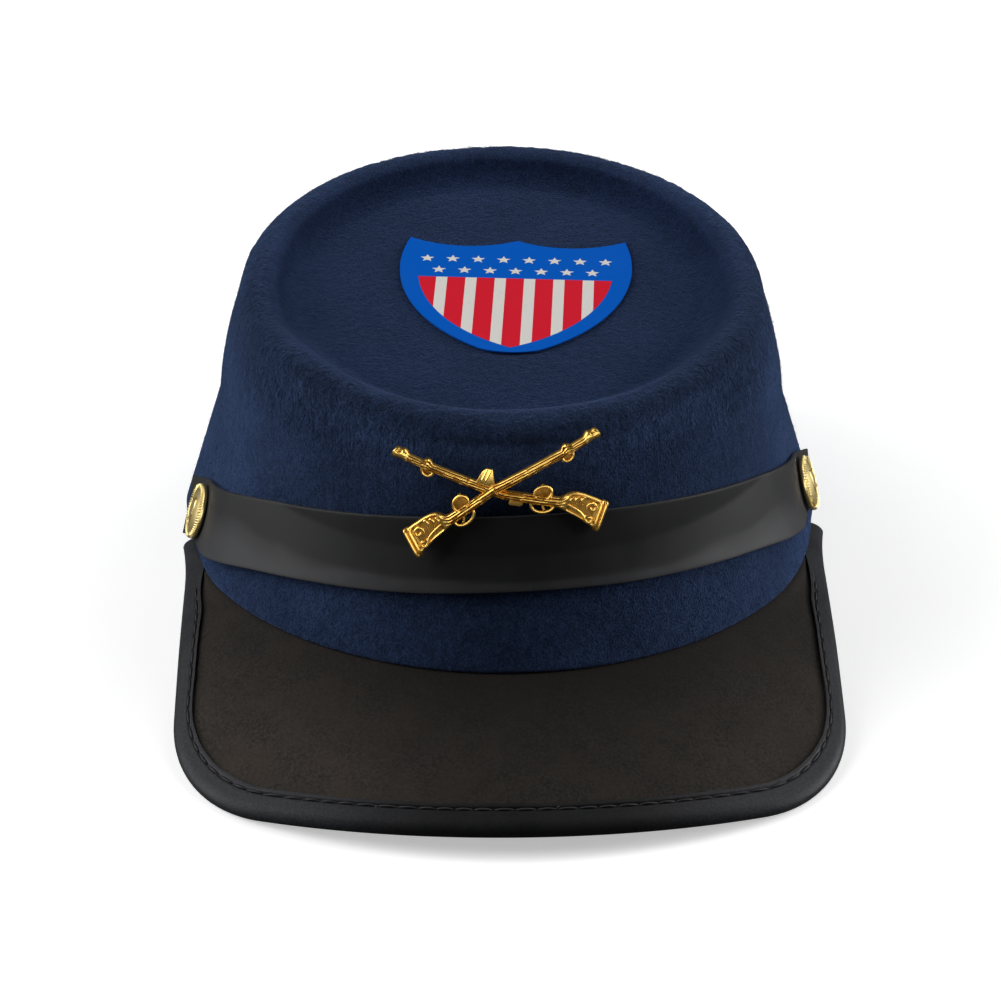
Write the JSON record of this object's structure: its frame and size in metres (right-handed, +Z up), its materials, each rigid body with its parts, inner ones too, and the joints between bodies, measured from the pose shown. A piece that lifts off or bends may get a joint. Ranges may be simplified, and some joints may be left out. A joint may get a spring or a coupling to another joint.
{
  "type": "kepi cap",
  "caption": "soft blue felt kepi with a bound brown peak, black front strap, brass buttons, crossed-rifles badge and a striped shield on its dished top",
  "frame": {"origin": "centre of the bounding box's bottom face, on the surface the cap rests on", "axes": "+Y runs from the peak to the back of the crown, +X is the right of a viewer who faces the peak, +Z is up"},
  "size_m": [0.1814, 0.233, 0.0878],
  "materials": {
    "blue_felt": "brushed wool-like felt with a short nap",
    "brown_suede": "matte suede-like board",
    "black_tape": "smooth woven tape, folded and stitched",
    "black_satin": "satin strap with a soft sheen",
    "button_brass": "stamped, dull in the hollows",
    "badge_gold": "polished gold-coloured casting",
    "printed_card": "printed in blue, red and white, smooth"
  },
  "bodies": {
    "root": {"crown": "blue_felt", "peak": "brown_suede", "peak_binding": "black_tape", "strap": "black_satin", "button_left": "button_brass", "button_right": "button_brass", "rifles_badge": "badge_gold", "shield_patch": "printed_card"}
  },
  "joints": []
}
